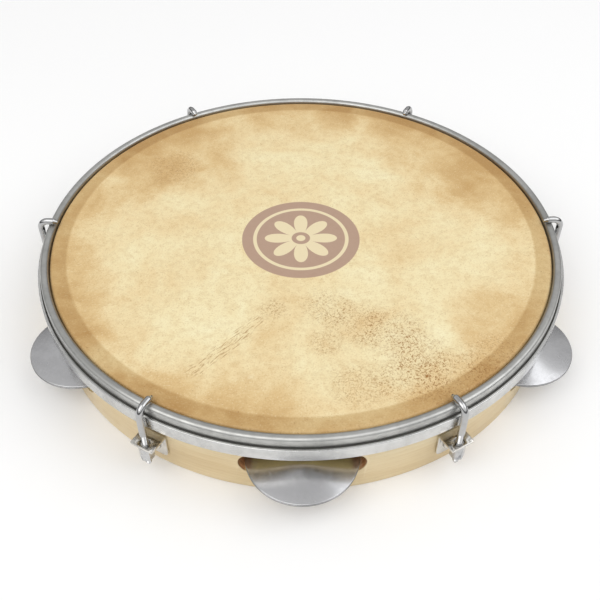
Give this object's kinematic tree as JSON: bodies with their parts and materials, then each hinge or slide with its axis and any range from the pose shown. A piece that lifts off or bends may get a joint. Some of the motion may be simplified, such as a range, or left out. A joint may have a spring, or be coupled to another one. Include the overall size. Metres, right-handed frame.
{
  "type": "tambourine",
  "caption": "Round framed hand drum with a film head tuned by claw hooks and metal hoops, and pairs of dished metal jingles on pins in slots of a wooden shell.",
  "frame": {"origin": "on the drum's axis, in the plane of the shell's bottom edge", "axes": "+Z along the drum's axis from the shell's bottom edge to the head; -Y towards the front pair of jingles, with the free grip at +Y"},
  "size_m": [0.3302, 0.3319, 0.0531],
  "materials": {
    "shell_wood": "clear satin lacquer on pale maple",
    "head_film": "skin-look polyester film, soft sheen",
    "hoop_aluminium": "fine satin",
    "resin": "cast, matt",
    "counterhoop_steel": "satin nickel",
    "hook_chrome": "polished",
    "nut_steel": "bright zinc",
    "bracket_nickel": "polished nickel",
    "fastener_steel": "bright zinc",
    "pin_steel": "bright drawn wire",
    "jingle_steel": "polished, lightly brushed"
  },
  "bodies": {
    "root": {"shell": "shell_wood", "head_film": "head_film", "head_hoop": "hoop_aluminium", "hoop_resin": "resin", "counterhoop": "counterhoop_steel", "bracket_screws": "fastener_steel", "bracket_washers": "fastener_steel", "bracket_screw_nuts": "fastener_steel", "bracket_right": "bracket_nickel", "bracket_back_right": "bracket_nickel", "bracket_back_left": "bracket_nickel", "bracket_left": "bracket_nickel", "bracket_front_left": "bracket_nickel", "bracket_front_right": "bracket_nickel", "jingle_pin_front": "pin_steel", "jingle_pin_left": "pin_steel", "jingle_pin_right": "pin_steel", "jingle_pin_back_left": "pin_steel", "jingle_pin_back_right": "pin_steel"},
    "hook_right": {"hook_right": "hook_chrome"},
    "hook_nut_right": {"hook_nut_right": "nut_steel"},
    "hook_back_right": {"hook_back_right": "hook_chrome"},
    "hook_nut_back_right": {"hook_nut_back_right": "nut_steel"},
    "hook_back_left": {"hook_back_left": "hook_chrome"},
    "hook_nut_back_left": {"hook_nut_back_left": "nut_steel"},
    "hook_left": {"hook_left": "hook_chrome"},
    "hook_nut_left": {"hook_nut_left": "nut_steel"},
    "hook_front_left": {"hook_front_left": "hook_chrome"},
    "hook_nut_front_left": {"hook_nut_front_left": "nut_steel"},
    "hook_front_right": {"hook_front_right": "hook_chrome"},
    "hook_nut_front_right": {"hook_nut_front_right": "nut_steel"},
    "lower_jingle_front": {"lower_jingle_front": "jingle_steel"},
    "upper_jingle_front": {"upper_jingle_front": "jingle_steel"},
    "lower_jingle_left": {"lower_jingle_left": "jingle_steel"},
    "upper_jingle_left": {"upper_jingle_left": "jingle_steel"},
    "lower_jingle_right": {"lower_jingle_right": "jingle_steel"},
    "upper_jingle_right": {"upper_jingle_right": "jingle_steel"},
    "lower_jingle_back_left": {"lower_jingle_back_left": "jingle_steel"},
    "upper_jingle_back_left": {"upper_jingle_back_left": "jingle_steel"},
    "lower_jingle_back_right": {"lower_jingle_back_right": "jingle_steel"},
    "upper_jingle_back_right": {"upper_jingle_back_right": "jingle_steel"}
  },
  "joints": [
    {"name": "nut_turn_right", "type": "hinge", "parent": "root", "child": "hook_nut_right", "pos_m": [0.16108, 0.00844, 0.0175], "axis": [0, 0, -1], "range_deg": [0, 1080]},
    {"name": "hook_lift_right", "type": "slide", "parent": "root", "child": "hook_right", "axis": [0, 0, 1], "range_m": [0, 0.0021]},
    {"name": "nut_turn_back_right", "type": "hinge", "parent": "root", "child": "hook_nut_back_right", "pos_m": [0.08065, 0.13969, 0.0175], "axis": [0, 0, -1], "range_deg": [0, 1080]},
    {"name": "hook_lift_back_right", "type": "slide", "parent": "root", "child": "hook_back_right", "axis": [0, 0, 1], "range_m": [0, 0.0021]},
    {"name": "nut_turn_back_left", "type": "hinge", "parent": "root", "child": "hook_nut_back_left", "pos_m": [-0.08065, 0.13969, 0.0175], "axis": [0, 0, -1], "range_deg": [0, 1080]},
    {"name": "hook_lift_back_left", "type": "slide", "parent": "root", "child": "hook_back_left", "axis": [0, 0, 1], "range_m": [0, 0.0021]},
    {"name": "nut_turn_left", "type": "hinge", "parent": "root", "child": "hook_nut_left", "pos_m": [-0.16108, 0.00844, 0.0175], "axis": [0, 0, -1], "range_deg": [0, 1080]},
    {"name": "hook_lift_left", "type": "slide", "parent": "root", "child": "hook_left", "axis": [0, 0, 1], "range_m": [0, 0.0021]},
    {"name": "nut_turn_front_left", "type": "hinge", "parent": "root", "child": "hook_nut_front_left", "pos_m": [-0.08065, -0.13969, 0.0175], "axis": [0, 0, -1], "range_deg": [0, 1080]},
    {"name": "hook_lift_front_left", "type": "slide", "parent": "root", "child": "hook_front_left", "axis": [0, 0, 1], "range_m": [0, 0.0021]},
    {"name": "nut_turn_front_right", "type": "hinge", "parent": "root", "child": "hook_nut_front_right", "pos_m": [0.08065, -0.13969, 0.0175], "axis": [0, 0, -1], "range_deg": [0, 1080]},
    {"name": "hook_lift_front_right", "type": "slide", "parent": "root", "child": "hook_front_right", "axis": [0, 0, 1], "range_m": [0, 0.0021]},
    {"name": "lower_slide_front", "type": "slide", "parent": "root", "child": "lower_jingle_front", "axis": [0, 0, 1], "range_m": [0, 0.0014]},
    {"name": "upper_slide_front", "type": "slide", "parent": "lower_jingle_front", "child": "upper_jingle_front", "axis": [0, 0, 1], "range_m": [0, 0.0014]},
    {"name": "lower_slide_left", "type": "slide", "parent": "root", "child": "lower_jingle_left", "axis": [0, 0, 1], "range_m": [0, 0.0014]},
    {"name": "upper_slide_left", "type": "slide", "parent": "lower_jingle_left", "child": "upper_jingle_left", "axis": [0, 0, 1], "range_m": [0, 0.0014]},
    {"name": "lower_slide_right", "type": "slide", "parent": "root", "child": "lower_jingle_right", "axis": [0, 0, 1], "range_m": [0, 0.0014]},
    {"name": "upper_slide_right", "type": "slide", "parent": "lower_jingle_right", "child": "upper_jingle_right", "axis": [0, 0, 1], "range_m": [0, 0.0014]},
    {"name": "lower_slide_back_left", "type": "slide", "parent": "root", "child": "lower_jingle_back_left", "axis": [0, 0, 1], "range_m": [0, 0.0014]},
    {"name": "upper_slide_back_left", "type": "slide", "parent": "lower_jingle_back_left", "child": "upper_jingle_back_left", "axis": [0, 0, 1], "range_m": [0, 0.0014]},
    {"name": "lower_slide_back_right", "type": "slide", "parent": "root", "child": "lower_jingle_back_right", "axis": [0, 0, 1], "range_m": [0, 0.0014]},
    {"name": "upper_slide_back_right", "type": "slide", "parent": "lower_jingle_back_right", "child": "upper_jingle_back_right", "axis": [0, 0, 1], "range_m": [0, 0.0014]}
  ],
  "couplings": [
    {"joint": "nut_turn_right", "follows": "hook_lift_right", "rad_per_m": 8975.9},
    {"joint": "nut_turn_back_right", "follows": "hook_lift_back_right", "rad_per_m": 8975.9},
    {"joint": "nut_turn_back_left", "follows": "hook_lift_back_left", "rad_per_m": 8975.9},
    {"joint": "nut_turn_left", "follows": "hook_lift_left", "rad_per_m": 8975.9},
    {"joint": "nut_turn_front_left", "follows": "hook_lift_front_left", "rad_per_m": 8975.9},
    {"joint": "nut_turn_front_right", "follows": "hook_lift_front_right", "rad_per_m": 8975.9}
  ]
}
